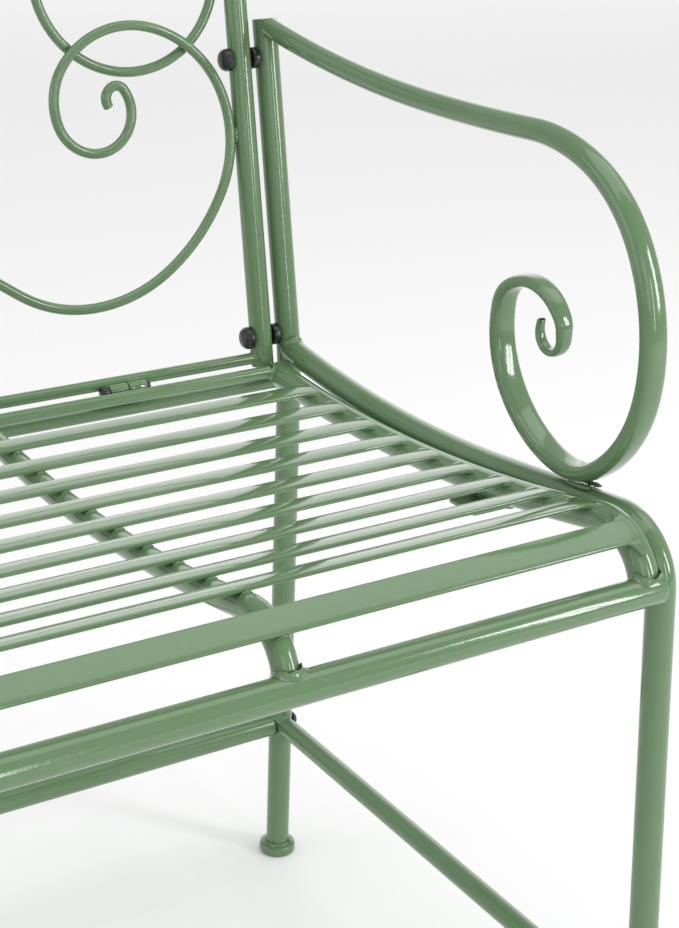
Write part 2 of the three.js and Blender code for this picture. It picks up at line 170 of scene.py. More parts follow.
# turned parts: (radius, height) from the first end cap to the last
FOOT_PROFILE = ((0, 0), (FOOT_R - 1.6, 0), (FOOT_R - 0.5, 0.5), (FOOT_R, 1.6), (FOOT_R, FOOT_H - 2),
                (FOOT_R - 0.6, FOOT_H - 0.6), (FOOT_R - 2, FOOT_H), (0, FOOT_H))
WASHER_PROFILE = ((0, 0), (6.4, 0), (6.5, 0.2), (6.5, 0.9), (6.3, 1.1), (0, 1.1))
HINGE_BOLT_PROFILE = ((0, -7), (3.4, -7), (4.2, -6.4), (4.6, -5.4), (4.6, -1), (4.3, -CLEARANCE),
                      (2.5, -CLEARANCE), (2.5, BARREL_L + CLEARANCE), (4.0, BARREL_L + CLEARANCE),
                      (4.2, BARREL_L + 0.7), (3.9, BARREL_L + 2.5), (3.2, BARREL_L + 3), (0, BARREL_L + 3))
KNOB_PROFILE = ((0, -8.6), (2, -8.55), (4, -8.3), (5.8, -7.7), (7.2, -6.8), (8.2, -5.6), (8.8, -4.2), (9, -3),
                (9, -1), (8.6, -CLEARANCE), (2.9, -CLEARANCE), (2.9, 2 * UPRIGHT_R - 1),
                (0, 2 * UPRIGHT_R - 1))
SEAT_BOLT_PROFILE = ((0, -7), (3, -6.9), (5, -6.2), (6.4, -4.8), (7, -3.4), (7, -0.8), (6.7, -0.1), (0, -0.1))

# ---- welds ----
ARM_BEAD_R = 1.0
FOOT_BEAD_R = 1.5
FOOT_BLOB_R = 2.6
FOOT_BLOB_ANGLES = (200, 300)
FOOT_BLOB_SPAN = 40
FOOT_BEAD_OUT = 0.4
FOOT_BEAD_UP = 0.3
FOOT_BLOB_OUT = 1.4
FOOT_BLOB_UP = 0.8
POST_TOP_MARGIN = 1.2
FLANK_BEAD_R = 1.6
FLANK_X = 5.2
FLANK_DROP = 8.2
FLANK_CURVE = 0.002
FLANK_HALF = 12
SLAT_BEAD_R = 1.3
SLAT_BEAD_INSET = 8.2
SUPPORT_BEAD_R = 1.2
SUPPORT_BEAD_CURVE = 0.045
RAIL_BEAD_R = 1.6
RING_BEAD_R = 1.8
TACK_REACH = 2.2
WEB_INSET = 5.6  # from the middle of the side rail to where a slat's web ends on its flank
WEB_RUN = 9.5
WEB_REACH = 8.5
WEB_STEPS = 8
WEB_DROP = 0.12
WEB_SAG = 1.75
WEB_THINNER = 0.2
WEB_OVERLAP = 1.2
KNUCKLE_BEAD_RISES = (-2.6, 3.0)
# any point on a bar's axis serves to find where it meets the next, short of the joint
BAR_POINT_X = 300
RAIL_POINT_X = 400
SUPPORT_POINT_Y = 120
FRONT_POINT_UP = 30
FILLET_LIFT = 0.06  # above the skins of both tubes
FILLET_HOLLOW = 0.35  # from the joint's line to the control point of the fillet's curve
BEAD_RIPPLE = 0.13
BEAD_WAVE = 2.1
BEAD_WANDER = 0.3
BEAD_NOISE = 0.21
BEAD_TAPER = 6

# ---- fineness ----
TUBE_SIDES = 36
ROD_SIDES = 24
TURNED_SIDES = 40
BEAD_SIDES = 10
RING_STEPS = 120
BAR_STEPS = 12
STRETCHER_STEPS = 8
SLAT_STEPS = 24
LOOP_POINTS = 40
FILLET_STEPS = 6
BEAD_STEP = 0.9
RUN_STEP = 40
CAP_R = 0.02  # least radius of a turned ring

# ---- paint ----
DRIFT_SCALE = 9
RIPPLE_SCALE = 70
PEEL_SCALE = 420
GRAIN_SCALE = 900
NOISE_LOW = 0.3
NOISE_HIGH = 0.7
DRIFT_SHARE = 0.75
GLOSSIER = 0.85
DULLER = 1.2
RIPPLE_WEIGHT = 2.2
RELIEF_DEPTH = 0.0004
PAINT_IOR = 1.5
COAT_ROUGHNESS = 0.05


# ---- materials ----
def material(name, base, roughness, coat, bump, speck):
    """Paint over steel: broad colour drift, fine speckle, orange peel, and gloss that follows the peel."""
    mat = bpy.data.materials.new(name)
    mat.use_nodes = True
    tree = mat.node_tree
    tree.nodes.clear()
    out = tree.nodes.new("ShaderNodeOutputMaterial")
    shader = tree.nodes.new("ShaderNodeBsdfPrincipled")
    tree.links.new(shader.outputs["BSDF"], out.inputs["Surface"])
    place = tree.nodes.new("ShaderNodeTexCoord").outputs["Object"]

    def texture(scale, detail):
        node = tree.nodes.new("ShaderNodeTexNoise")
        node.inputs["Scale"].default_value = scale
        node.inputs["Detail"].default_value = detail
        tree.links.new(place, node.inputs["Vector"])
        return node.outputs["Fac"]

    def ramp(source, lowest, highest):
        node = tree.nodes.new("ShaderNodeMapRange")
        node.inputs["From Min"].default_value = NOISE_LOW
        node.inputs["From Max"].default_value = NOISE_HIGH
        node.inputs["To Min"].default_value = lowest
        node.inputs["To Max"].default_value = highest
        tree.links.new(source, node.inputs["Value"])
        return node.outputs["Result"]

    drift = texture(DRIFT_SCALE, 3)
    grain = texture(GRAIN_SCALE, 2)
    peel = texture(PEEL_SCALE, 2)
    ripple = texture(RIPPLE_SCALE, 2)
    shades = tree.nodes.new("ShaderNodeMix")
    shades.data_type = "RGBA"
    shades.inputs["A"].default_value = (*[c * (1 - speck) for c in base], 1)
    shades.inputs["B"].default_value = (*[c * (1 + speck) for c in base], 1)
    both = tree.nodes.new("ShaderNodeMath")
    both.operation = "MULTIPLY_ADD"
    both.inputs[1].default_value = DRIFT_SHARE
    tree.links.new(drift, both.inputs[0])
    tree.links.new(ramp(grain, 0, 1 - DRIFT_SHARE), both.inputs[2])
    tree.links.new(both.outputs[0], shades.inputs["Factor"])
    tree.links.new(shades.outputs["Result"], shader.inputs["Base Color"])
    tree.links.new(ramp(peel, roughness * GLOSSIER, roughness * DULLER), shader.inputs["Roughness"])
    shader.inputs["IOR"].default_value = PAINT_IOR
    shader.inputs["Coat Weight"].default_value = coat
    shader.inputs["Coat Roughness"].default_value = COAT_ROUGHNESS
    height = tree.nodes.new("ShaderNodeMath")
    height.operation = "MULTIPLY_ADD"
    height.inputs[1].default_value = RIPPLE_WEIGHT
    tree.links.new(ripple, height.inputs[0])
    tree.links.new(peel, height.inputs[2])
    relief = tree.nodes.new("ShaderNodeBump")
    relief.inputs["Strength"].default_value = bump
    relief.inputs["Distance"].default_value = RELIEF_DEPTH
    tree.links.new(height.outputs[0], relief.inputs["Height"])
    tree.links.new(relief.outputs["Normal"], shader.inputs["Normal"])
    return mat


GREEN = material("green_powder_coat", (0.11, 0.2, 0.092), roughness=0.12, coat=0.35, bump=0.1, speck=0.08)
GREEN_WELD = material("green_weld_paint", (0.107, 0.194, 0.09), roughness=0.17, coat=0.3, bump=0.2, speck=0.1)
BLACK = material("black_fastener_paint", (0.011, 0.015, 0.012), roughness=0.3, coat=0.1, bump=0.2, speck=0.3)


# ---- curves ----
def bent(start, heading, bends, turn=3.5, arc_step=14):
    """Points (x, y) and headings along a rod of straight runs (length, 0) and bends (radius, degrees)."""
    x, y = start
    angle = heading * DEGREE
    out = [(x, y, angle)]
    for size, degrees in bends:
        length = size if degrees == 0 else abs(size * degrees * DEGREE)
        curve = degrees * DEGREE / length
        step = RUN_STEP if degrees == 0 else arc_step
        count = max(1, math.ceil(abs(degrees) / turn), math.ceil(length / step))
        for i in range(1, count + 1):
            d = length * i / count
            turned = curve * d
            chord = d if degrees == 0 else 2 / curve * math.sin(turned / 2)
            out.append((x + chord * math.cos(angle + turned / 2), y + chord * math.sin(angle + turned / 2),
                        angle + turned))
        x, y, angle = out[-1]
    return out


def side_plane(points, x):
    """Flat coordinates (forward, up) into a side plane."""
    return [Vector((x, -p[0], p[1])) for p in points]


def back_point(u, w, behind=0):
    """A point of the backrest: u across, w up along it, and so far behind its plane."""
    lean = RECLINE * DEGREE
    return Vector((u, BACK_Y + w * math.sin(lean) + behind * math.cos(lean),
                   BACK_Z + w * math.cos(lean) - behind * math.sin(lean)))


def back_plane(points, behind=0):
    return [back_point(p[0], p[1], behind) for p in points]


X_AXIS = Vector((1, 0, 0))
Y_AXIS = Vector((0, 1, 0))
UP = Vector((0, 0, 1))
BACK_NORMAL = Vector((0, math.cos(RECLINE * DEGREE), -math.sin(RECLINE * DEGREE)))
BACK_UP = Vector((0, math.sin(RECLINE * DEGREE), math.cos(RECLINE * DEGREE)))  # also along the rear posts
LEG_UP = Vector((0, -math.sin(REAR_LEG_LEAN * DEGREE), math.cos(REAR_LEG_LEAN * DEGREE)))
FRONT_LEG_UP = Vector((0, math.sin(FRONT_LEG_LEAN * DEGREE), math.cos(FRONT_LEG_LEAN * DEGREE)))


def arc_heading(r, y, low_y):
    """Slope in degrees, going forward, of an arc of radius r that is lowest at low_y."""
    return math.asin((low_y - y) / r) / DEGREE


def arc_height(r, y, low_y, low_z):
    return low_z + r - math.sqrt(r * r - (y - low_y) ** 2)


# ---- meshes ----
def bridge(faces, a, b, n):
    """Faces between two closed rings of n points that start at a and b."""
    for k in range(n):
        j = (k + 1) % n
        faces.append((a + k, a + j, b + j, b + k))


def rings_to_mesh(rings, n):
    """Rings of n points each, joined in order and closed by a point at each end."""
    verts = [p for ring in rings for p in ring]
    faces = []
    for i in range(len(rings) - 1):
        bridge(faces, i * n, (i + 1) * n, n)
    for index, flip in ((0, True), (len(rings) - 1, False)):
        centre = len(verts)
        verts.append(sum(rings[index], Vector()) / n)
        for k in range(n):
            j = (k + 1) % n
            tri = (index * n + k, index * n + j, centre)
            faces.append(tri[::-1] if flip else tri)
    return verts, faces


def tangents(path, closed=False):
    count = len(path)
    out = []
    for i in range(count):
        a = path[i - 1] if closed or i else path[0]
        b = path[(i + 1) % count] if closed or i < count - 1 else path[-1]
        out.append((b - a).normalized())
    return out


def square_to(axis):
    """Two directions square to an axis and to each other."""
    first = axis.orthogonal().normalized()
    return first, axis.cross(first)


def around(e1, e2, k, count):
    """The kth of count directions around a circle that starts at e1 and turns towards e2."""
    angle = 2 * math.pi * k / count
    return e1 * math.cos(angle) + e2 * math.sin(angle)


def end_rings(kind, radius):
    """(offset outwards along the tube, radius) pairs for one end, from the tube's last ring outwards."""
    if kind == "open":
        inner = radius - POST_WALL
        lip = POST_WALL / 2
        return [(0, radius), (lip * LIP_RISE, radius - lip * LIP_ROUND),
                (lip * LIP_RISE, inner + lip * LIP_ROUND), (0, inner), (-HOLLOW_DEPTH, inner)]
    if kind == "soft":
        edge = radius * SOFT_SHARE
        return [(edge * math.sin(a * DEGREE), radius - edge + edge * math.cos(a * DEGREE))
                for a in SOFT_ANGLES]
    return []


def tube(path, normal, radius, ends=("flat", "flat"), sides=TUBE_SIDES, radii=None):
    """A round tube along a path in the plane with this normal. radii gives (across, thick) per point."""
    along = tangents(path)

    def ring(centre, t, across, thick):
        other = t.cross(normal).normalized()
        power = 1 - FLATTER * min(1, abs(across - thick) / FLATTER_FROM)
        out = []
        for k in range(sides):
            c, s = math.cos(2 * math.pi * k / sides), math.sin(2 * math.pi * k / sides)
            out.append(centre + normal * (across * math.copysign(abs(c) ** power, c))
                       + other * (thick * math.copysign(abs(s) ** power, s)))
        return out

    rings = [ring(path[i], along[i], *(radii[i] if radii else (radius, radius))) for i in range(len(path))]
    before = [ring(path[0] - along[0] * d, along[0], r, r) for d, r in end_rings(ends[0], radius)]
    end, outwards = path[-1], along[-1]
    if ends[1] == "tip":
        # a thin rim around a flat opening
        across, thick = radii[-1]
        inner = (across - TIP_WALL, thick - TIP_WALL)
        after = [ring(end + outwards * TIP_EDGE, outwards, across - TIP_EDGE, thick - TIP_EDGE),
                 ring(end + outwards * (TIP_EDGE / 2), outwards, *inner),
                 ring(end - outwards * TIP_DEPTH, outwards, *inner)]
    else:
        after = [ring(end + outwards * d, outwards, r, r) for d, r in end_rings(ends[1], radius)]
    return rings_to_mesh(before[::-1] + rings + after, sides)


def closed_ring(centre, radius, wire):
    """A ring of round bar in the backrest plane."""
    verts, faces = [], []
    for i in range(RING_STEPS):
        out = around(X_AXIS, BACK_UP, i, RING_STEPS)
        for k in range(ROD_SIDES):
            b = 2 * math.pi * k / ROD_SIDES
            verts.append(centre + out * (radius + wire * math.cos(b)) + BACK_NORMAL * (wire * math.sin(b)))
    for i in range(RING_STEPS):
        bridge(faces, i * ROD_SIDES, (i + 1) % RING_STEPS * ROD_SIDES, ROD_SIDES)
    return verts, faces


def lathe(origin, axis, profile):
    """A closed turned part: (radius, height) pairs along an axis, from the first end cap to the last."""
    e1, e2 = square_to(axis)
    rings = [[origin + axis * h + around(e1, e2, k, TURNED_SIDES) * max(r, CAP_R)
              for k in range(TURNED_SIDES)] for r, h in profile]
    return rings_to_mesh(rings, TURNED_SIDES)


def collar(origin, axis, inner, outer, length):
    """A short open cylinder with rounded rims."""
    e1, e2 = square_to(axis)
    edge, arc = COLLAR_EDGE, COLLAR_EDGE * COLLAR_ROUND
    outline = [(inner, 0), (outer - edge, 0), (outer - arc, arc), (outer, edge), (outer, length - edge),
               (outer - arc, length - arc), (outer - edge, length), (inner, length)]
    verts = [origin + axis * h + around(e1, e2, k, TURNED_SIDES) * r for r, h in outline
             for k in range(TURNED_SIDES)]
    faces = []
    for i in range(len(outline)):
        bridge(faces, i * TURNED_SIDES, (i + 1) % len(outline) * TURNED_SIDES, TURNED_SIDES)
    return verts, faces


def flat_bar(y, z, tilt):
    """A flat bar along X whose top face passes through (y, z), turned about X, with rounded edges."""
    section = []
    for cy, cz, first in ((1, 1, 0), (-1, 1, 90), (-1, -1, 180), (1, -1, 270)):
        for a in (0, 30, 60, 90):
            section.append((cy * (SLAT_W / 2 - SLAT_EDGE_R) + SLAT_EDGE_R * math.cos((first + a) * DEGREE),
                            cz * (SLAT_T / 2 - SLAT_EDGE_R) + SLAT_EDGE_R * math.sin((first + a) * DEGREE)))
    turn = Matrix.Rotation(tilt * DEGREE, 3, "X")
    inner = SLAT_HALF - SLAT_ENDS[-1][0]
    stations = [(-SLAT_HALF + d, s) for d, s in SLAT_ENDS]
    stations += [(-inner + 2 * inner * k / SLAT_STEPS, 1.0) for k in range(1, SLAT_STEPS)]
    stations += [(SLAT_HALF - d, s) for d, s in SLAT_ENDS[::-1]]
    rings = []
    for x, s in stations:
        shrink = (1 - s) * SLAT_T / 2
        ring = []
        for sy, sz in section:
            p = turn @ Vector((0, sy - math.copysign(min(shrink, abs(sy)), sy), sz * s - SLAT_T / 2))
            ring.append(Vector((x, y + p.y, z + p.z)))
        rings.append(ring)
    return rings_to_mesh(rings, len(section))


def bead(points, radius, closed, seed):
    """A weld bead along a path: a round bead whose size ripples, running out to a point at open ends."""
    path = []
    count = len(points)
    for i in range(count if closed else count - 1):
        a, b = points[i], points[(i + 1) % count]
        parts = max(1, math.ceil((b - a).length / BEAD_STEP))
        path += [a.lerp(b, k / parts) for k in range(parts)]
    if not closed:
        path.append(points[-1])
    along = tangents(path, closed)
    up = along[0].orthogonal().normalized()
    rings, travelled = [], 0
    for i, (p, t) in enumerate(zip(path, along)):
        up = (up - t * up.dot(t)).normalized()
        other = t.cross(up)
        if i:
            travelled += (p - path[i - 1]).length
        place = Vector((p.x * BEAD_NOISE, p.y * BEAD_NOISE, p.z * BEAD_NOISE + seed))
        size = radius * (1 + BEAD_RIPPLE * math.sin(travelled * BEAD_WAVE + seed)
                         + BEAD_WANDER * noise.noise(place))
        if not closed:
            share = min(i, len(path) - 1 - i) / max(1, min(BEAD_TAPER, (len(path) - 1) / 2))
            size *= math.sqrt(min(1, 0.05 + share))
        rings.append([p + around(up, other, k, BEAD_SIDES) * size for k in range(BEAD_SIDES)])
    if not closed:
        return rings_to_mesh(rings, BEAD_SIDES)
    verts = [p for ring in rings for p in ring]
    faces = []
    for i in range(len(rings) - 1):
        bridge(faces, i * BEAD_SIDES, (i + 1) * BEAD_SIDES, BEAD_SIDES)
    # the frame may come back turned, so the last ring meets the first at the nearest shift
    last, first = (len(rings) - 1) * BEAD_SIDES, rings[0]
    shift = min(range(BEAD_SIDES), key=lambda s: sum((rings[-1][k] - first[(k + s) % BEAD_SIDES]).length
                                                     for k in range(BEAD_SIDES)))
    for k in range(BEAD_SIDES):
        j = (k + 1) % BEAD_SIDES
        faces.append((last + k, last + j, (j + shift) % BEAD_SIDES, (k + shift) % BEAD_SIDES))
    return verts, faces


def joint_loop(p, d, r, q, a, radius):
    """Where a round tube of radius r through p, running along d, meets a round tube through q along a."""
    e1, e2 = square_to(d)
    loop = []
    for k in range(LOOP_POINTS):
        s = p + around(e1, e2, k, LOOP_POINTS) * r
        w = s - q
        w -= a * w.dot(a)
        flat = d - a * d.dot(a)
        qa, qb, qc = flat.dot(flat), 2 * w.dot(flat), w.dot(w) - radius * radius
        inside = max(0, qb * qb - 4 * qa * qc)
        loop.append(s + d * ((-qb - math.sqrt(inside)) / (2 * qa)))
    return loop


def fillet(p, d, r, q, a, radius, reach, seed):
    """A concave weld fillet where a round tube of radius r, running along d, ends on the tube through q."""
    verts = []
    for k, at in enumerate(joint_loop(p, d, r, q, a, radius)):
        spoke = at - p
        spoke = (spoke - d * spoke.dot(d)).normalized()
        turn = 2 * math.pi * k / LOOP_POINTS
        size = reach * (1 + 0.25 * noise.noise(Vector((k * 0.45, seed * 3.7, 0.5)))
                        + 0.5 * noise.noise(Vector((math.cos(turn) * 1.5, math.sin(turn) * 1.5, seed * 1.9))))
        on_branch = at - d * size + spoke * FILLET_LIFT
        off = at + spoke * size - q
        flat = off - a * off.dot(a)
        on_main = q + a * off.dot(a) + flat.normalized() * (radius + FILLET_LIFT)
        corner = at + spoke * FILLET_HOLLOW - d * FILLET_HOLLOW
        for step in range(FILLET_STEPS):
            t = step / (FILLET_STEPS - 1)
            verts.append(on_branch * (1 - t) ** 2 + corner * (2 * t * (1 - t)) + on_main * t ** 2)
        # the root is inside the tubes
        verts.append(at - spoke * 0.9 + d * 0.5)
    faces = []
    section = FILLET_STEPS + 1
    for k in range(LOOP_POINTS):
        bridge(faces, k * section, (k + 1) % LOOP_POINTS * section, section)
    return verts, faces


def merged(parts):
    verts, faces = [], []
    for v, f in parts:
        base = len(verts)
        verts += v
        faces += [tuple(base + i for i in face) for face in f]
    return verts, faces


def add(name, mesh, mat, body, nodes=(), sharp=40):
    """One visible piece on a body, standing for the CAD nodes named."""
    verts, faces = mesh
    data = bpy.data.meshes.new(name)
    data.from_pydata([v * MM for v in verts], [], faces)
    data.validate()
    for polygon in data.polygons:
        polygon.use_smooth = True
    data.set_sharp_from_angle(angle=sharp * DEGREE)
    data.materials.append(mat)
    data.update()
    obj = bpy.data.objects.new(name, data)
    bpy.context.scene.collection.objects.link(obj)
    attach(obj, body)
    if nodes:
        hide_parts(*nodes)
    return obj


def add_pair(name, mesh, mat, body, node=None, sharp=40):
    """The piece on the +X side and its mirror image."""
    verts, faces = mesh
    add(name + "_right", mesh, mat, body, (node + "_right",) if node else (), sharp)
    twin = [Vector((-v.x, v.y, v.z)) for v in verts], [face[::-1] for face in faces]
    add(name + "_left", twin, mat, body, (node + "_left",) if node else (), sharp)


# ---- side frames ----
def rear_leg_y(z):
    return REAR_LEG_Y - z * math.tan(REAR_LEG_LEAN * DEGREE)


def front_leg_y(z):
    return FRONT_LEG_FLOOR_Y + z * math.tan(FRONT_LEG_LEAN * DEGREE)


leg_start = FOOT_H - 1
leg_run = (REAR_BEND_Z - leg_start) / math.cos(REAR_LEG_LEAN * DEGREE)
post_run = (POST_TOP_Z - REAR_BEND_Z) / math.cos(RECLINE * DEGREE)
knee_trim = KNEE_R * math.tan((REAR_LEG_LEAN + RECLINE) / 2 * DEGREE)
post_flat = bent((-rear_leg_y(leg_start), leg_start), 90 - REAR_LEG_LEAN,
                 ((leg_run - knee_trim, 0), (KNEE_R, REAR_LEG_LEAN + RECLINE), (post_run - knee_trim, 0)))
post_path = side_plane(post_flat, FRAME_X)
add_pair("rear_post_tube", tube(post_path, X_AXIS, POST_R, ("flat", "open")), GREEN, "frame", "rear_post")
POST_TOP = post_path[-1]

side_start_y = rear_leg_y(REAR_BEND_Z)
side_first = arc_heading(SIDE_ARC_R, side_start_y, SIDE_LOW_Y)
side_last = arc_heading(SIDE_ARC_R, SIDE_STRAIGHT_Y, SIDE_LOW_Y)
side_straight = (SIDE_STRAIGHT_Y - SIDE_BEND_Y) / math.cos(side_last * DEGREE)
side_knee = side_last + 90 - FRONT_LEG_LEAN
side_start = (-side_start_y, arc_height(SIDE_ARC_R, side_start_y, SIDE_LOW_Y, SIDE_LOW_Z))
side_bends = ((SIDE_ARC_R, side_last - side_first), (side_straight, 0), (SIDE_BEND_R, -side_knee))
side_end = bent(side_start, side_first, side_bends)[-1]
front_run = (side_end[1] - leg_start) / math.cos(FRONT_LEG_LEAN * DEGREE)
side_path = side_plane(bent(side_start, side_first, (*side_bends, (front_run, 0)), turn=3), FRAME_X)
add_pair("side_tube_skin", tube(side_path, X_AXIS, TUBE_R), GREEN, "frame", "side_tube")


def flattened(length):
    """Half width and half thickness of the arm's tube at this length from its tip."""
    for (a, w0, t0), (b, w1, t1) in zip(ARM_FLATTENING, ARM_FLATTENING[1:]):
        if length < b:
            share = (length - a) / (b - a)
            return w0 + (w1 - w0) * share, t0 + (t1 - t0) * share
    return ARM_R, ARM_R


arm_flat = bent(ARM_START, ARM_HEADING, ARM_BENDS)
arm_path = side_plane(arm_flat, FRAME_X)
arm_heading = (arm_path[1] - arm_path[0]).normalized()
arm_length = 0
arm_radii = []
for near, far in zip(arm_path[::-1], [arm_path[-1]] + arm_path[::-1]):
    arm_length += (far - near).length
    arm_radii.append(flattened(arm_length))
arm_radii.reverse()
arm_skin = tube([arm_path[0] - arm_heading * ARM_IN_POST] + arm_path, X_AXIS, ARM_R, ("flat", "tip"),
                radii=[arm_radii[0]] + arm_radii)
add_pair("armrest_tube", arm_skin, GREEN, "frame", "armrest_scroll")

stretcher_y = rear_leg_y(STRETCHER_Z)
stretcher_front = front_leg_y(STRETCHER_Z)
stretcher_path = [Vector((FRAME_X, stretcher_y - (stretcher_y - stretcher_front) * k / STRETCHER_STEPS,
                          STRETCHER_Z)) for k in range(STRETCHER_STEPS + 1)]
add_pair("side_stretcher_tube", tube(stretcher_path, X_AXIS, STRETCHER_R), GREEN, "frame", "side_stretcher")

for where, y in (("rear", REAR_LEG_Y), ("front", FRONT_LEG_FLOOR_Y)):
    disc = lathe(Vector((FRAME_X, y, 0)), UP, FOOT_PROFILE)
    add_pair(where + "_foot_disc", disc, GREEN, "frame", where + "_foot", sharp=60)


# ---- cross members ----
def bar_x(half, y, z, radius, ends=("flat", "flat"), sides=TUBE_SIDES):
    """A straight round bar along X, the same length to both sides."""
    path = [Vector((-half + 2 * half * k / BAR_STEPS, y, z)) for k in range(BAR_STEPS + 1)]
    return tube(path, Y_AXIS, radius, ends, sides)


rear_stretcher = bar_x(FRAME_X - POST_R - CLEARANCE, stretcher_y, STRETCHER_Z, TUBE_R)
add("rear_stretcher_tube", rear_stretcher, GREEN, "frame", ("rear_stretcher",))
cross_bar_y = rear_leg_y(CROSS_BAR_Z)
rear_cross_bar = bar_x(FRAME_X - CROSS_BAR_INSET, cross_bar_y, CROSS_BAR_Z, CROSS_BAR_R)
add("rear_cross_bar_tube", rear_cross_bar, GREEN, "frame", ("rear_cross_bar",))


def dome(origin, axis):
    """A low dome on a short straight rim."""
    profile = [(0, 0), (DOME_R - DOME_CHAMFER, 0), (DOME_R, DOME_RIM)]
    profile += [(DOME_R * math.cos(a * DEGREE), DOME_RIM + (DOME_H - DOME_RIM) * math.sin(a * DEGREE))
                for a in range(10, 90, 10)]
    return lathe(origin, axis, profile + [(DOME_CROWN, DOME_H)])


bolt_seat = FRAME_X + POST_R + CLEARANCE
washer = lathe(Vector((bolt_seat - WASHER_SUNK, stretcher_y, STRETCHER_Z)), X_AXIS, WASHER_PROFILE)
stretcher_dome = dome(Vector((bolt_seat + DOME_RAISED, stretcher_y, STRETCHER_Z)), X_AXIS)
add_pair("stretcher_bolt_head", merged([washer, stretcher_dome]), BLACK, "frame", "stretcher_bolt", sharp=50)

# ---- seat panel ----
front_tube_half = FRAME_X - TUBE_R - 2 * CLEARANCE - FRONT_TUBE_TRIM
add("seat_front_tube_skin", bar_x(front_tube_half, FRONT_TUBE_Y, FRONT_TUBE_Z, TUBE_R, ("soft", "soft")),
    GREEN, "frame", ("seat_front_tube",), sharp=60)


def under_seat(depth, x, back_y):
    """The axis of a tube this deep under the seat's curve: forward from back_y, and down at its end."""
    first = arc_heading(SEAT_ARC_R, back_y, SEAT_LOW_Y)
    last = arc_heading(SEAT_ARC_R, SEAT_BEND_Y, SEAT_LOW_Y)
    z = arc_height(SEAT_ARC_R, back_y, SEAT_LOW_Y, SEAT_LOW_Z)
    start = (-back_y + depth * math.sin(first * DEGREE), z - depth * math.cos(first * DEGREE))
    bends = ((SEAT_ARC_R + depth, last - first), (SEAT_BEND_R - depth, -SEAT_BEND))
    return side_plane(bent(start, first, bends, turn=3), x)


rail_path = under_seat(TUBE_R, SEAT_RAIL_X, SEAT_RAIL_BACK_Y)
add_pair("seat_side_rail_tube", tube(rail_path, X_AXIS, TUBE_R, ("soft", "flat")), GREEN, "frame",
         "seat_side_rail", sharp=60)
support_depth = SUPPORT_R + SLAT_T + CLEARANCE
SUPPORTS = (("left", -SUPPORT_PITCH), ("centre", 0), ("right", SUPPORT_PITCH))
for where, x in SUPPORTS:
    support_path = under_seat(support_depth, x, SEAT_BACK_Y)
    add("seat_support_tube_" + where, tube(support_path, X_AXIS, SUPPORT_R), GREEN, "frame",
        ("seat_support_" + where,))
rear_rail = bar_x(SEAT_RAIL_X - TUBE_R, REAR_RAIL_Y, REAR_RAIL_Z, RAIL_R, sides=ROD_SIDES)
add("seat_rear_rail_rod", rear_rail, GREEN, "frame", ("seat_rear_rail",))

slats = []
for i in range(SLAT_COUNT):
    y = SLAT_FIRST_Y - i * SLAT_PITCH
    z = arc_height(SEAT_ARC_R, y, SEAT_LOW_Y, SEAT_LOW_Z)
    tilt = -arc_heading(SEAT_ARC_R, y, SEAT_LOW_Y)
    slats.append((y, z, tilt))
    add(f"seat_slat_bar_{i + 1}", flat_bar(y, z, tilt), GREEN, "frame", (f"seat_slat_{i + 1}",))
bend_start = arc_heading(SEAT_ARC_R, SEAT_BEND_Y, SEAT_LOW_Y)
bend_y = SEAT_BEND_Y - SEAT_BEND_R * math.sin(bend_start * DEGREE)
bend_z = (arc_height(SEAT_ARC_R, SEAT_BEND_Y, SEAT_LOW_Y, SEAT_LOW_Z)
          - SEAT_BEND_R * math.cos(bend_start * DEGREE))
flat_tilt = FLAT_BAR_TURN - bend_start
flat_y = bend_y - SEAT_BEND_R * math.sin(flat_tilt * DEGREE)
flat_z = bend_z + SEAT_BEND_R * math.cos(flat_tilt * DEGREE)
add("seat_front_flat_bar", flat_bar(flat_y, flat_z, flat_tilt), GREEN, "frame", ("seat_front_flat",))
slats.append((flat_y, flat_z, flat_tilt))

# ---- backrest ----
upright_foot = UPRIGHT_FOOT_W + UPRIGHT_TRIM
upright_path = [back_point(UPRIGHT_X, upright_foot + (UPRIGHT_TOP_W - upright_foot) * k / BAR_STEPS)
                for k in range(BAR_STEPS + 1)]
add_pair("back_upright_tube", tube(upright_path, BACK_NORMAL, UPRIGHT_R, ("soft", "flat")), GREEN, "backrest",
         "back_upright", sharp=60)
shoulder_x = UPRIGHT_X - SHOULDER_R * (1 - math.cos(SHOULDER_BEND * DEGREE))
arch_r = shoulder_x / math.cos(SHOULDER_BEND * DEGREE)
top_bends = ((SHOULDER_R, SHOULDER_BEND), (arch_r, 2 * (90 - SHOULDER_BEND)), (SHOULDER_R, SHOULDER_BEND))
# the arch springs a clearance above the uprights, and runs down to meet them
top_flat = bent((UPRIGHT_X, UPRIGHT_TOP_W + CLEARANCE), 90, top_bends, turn=3)
top_path = back_plane([(UPRIGHT_X, UPRIGHT_TOP_W)] + top_flat + [(-UPRIGHT_X, UPRIGHT_TOP_W)])
add("back_top_rail_tube", tube(top_path, BACK_NORMAL, UPRIGHT_R), GREEN, "backrest", ("back_top_rail",))
rail_at = back_point(0, BACK_RAIL_W)
back_rail = bar_x(UPRIGHT_X - UPRIGHT_R + RAIL_IN_UPRIGHT, rail_at.y, rail_at.z, RAIL_R, sides=ROD_SIDES)
add("back_bottom_rail_rod", back_rail, GREEN, "backrest", ("back_bottom_rail",))

